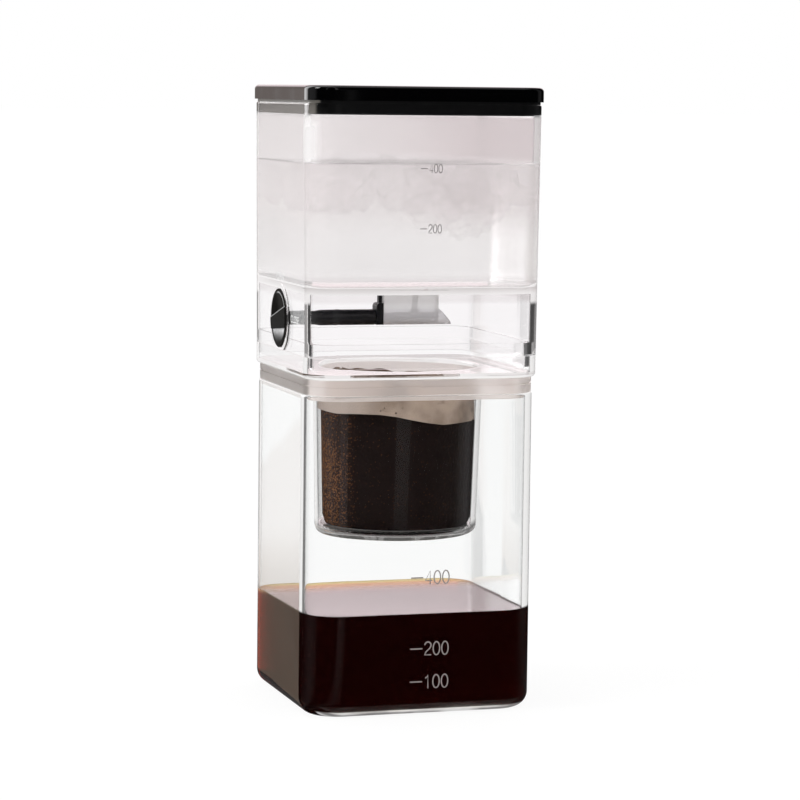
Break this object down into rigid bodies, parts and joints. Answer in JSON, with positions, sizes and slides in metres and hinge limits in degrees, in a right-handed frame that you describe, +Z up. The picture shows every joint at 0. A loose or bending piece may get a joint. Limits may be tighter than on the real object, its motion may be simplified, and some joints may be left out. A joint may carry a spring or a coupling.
{
  "type": "cold brew coffee maker",
  "caption": "Square cold brew dripper: glass carafe, round coffee basket, water tank with a turning drip valve, and a lid, stacked.",
  "frame": {"origin": "centre of the carafe's flat base, where it stands", "axes": "+Z up along the stack, -Y out of the front face with the scales, -X out of the face with the valve knob"},
  "size_m": [0.0946, 0.0944, 0.2401],
  "materials": {
    "carafe_glass": "clear pressed glass, polished",
    "clear_plastic": "clear moulded plastic, polished",
    "clear_silicone": "translucent silicone, satin",
    "screen_steel": "punched stainless sheet, satin",
    "smoke_plastic": "smoke-grey translucent plastic",
    "rotor_plastic": "natural acetal, turned",
    "black_rubber": "black rubber, satin",
    "black_plastic": "black moulded plastic, semi-gloss",
    "gloss_black": "black moulded plastic, high gloss",
    "brewed_coffee": "brewed coffee, dark and clear",
    "coffee_grounds": "wet ground coffee, coarse",
    "wet_paper": "wet filter paper, crumpled",
    "iced_water": "iced water, cloudy",
    "grey_print": "grey screen print",
    "white_print": "white screen print"
  },
  "bodies": {
    "carafe": {"carafe": "carafe_glass"},
    "basket": {"coffee_basket": "clear_plastic", "basket_seal": "clear_silicone", "filter_screen": "screen_steel", "screen_ring": "clear_plastic"},
    "tank": {"water_tank": "clear_plastic", "inlet_gasket": "clear_silicone", "valve_barrel": "smoke_plastic", "valve_seat": "clear_silicone", "barrel_end_plug": "smoke_plastic", "stem_bracket": "black_plastic", "knob_bush": "clear_plastic"},
    "valve": {"valve_knob": "black_plastic", "valve_stem": "black_plastic", "valve_rotor": "rotor_plastic", "rotor_o_rings": "black_rubber"},
    "lid": {"lid_cap": "gloss_black", "lid_liner": "gloss_black", "lid_seal": "black_rubber"}
  },
  "joints": [
    {"name": "basket_lift", "type": "slide", "parent": "carafe", "child": "basket", "axis": [0, 0, 1], "range_m": [0, 0.07]},
    {"name": "tank_lift", "type": "slide", "parent": "basket", "child": "tank", "axis": [0, 0, 1], "range_m": [0, 0.06]},
    {"name": "lid_lift", "type": "slide", "parent": "tank", "child": "lid", "axis": [0, 0, 1], "range_m": [0, 0.05]},
    {"name": "valve_turn", "type": "hinge", "parent": "tank", "child": "valve", "pos_m": [-0.046, 0, 0.15], "axis": [-1, 0, 0], "range_deg": [0, 90]}
  ]
}
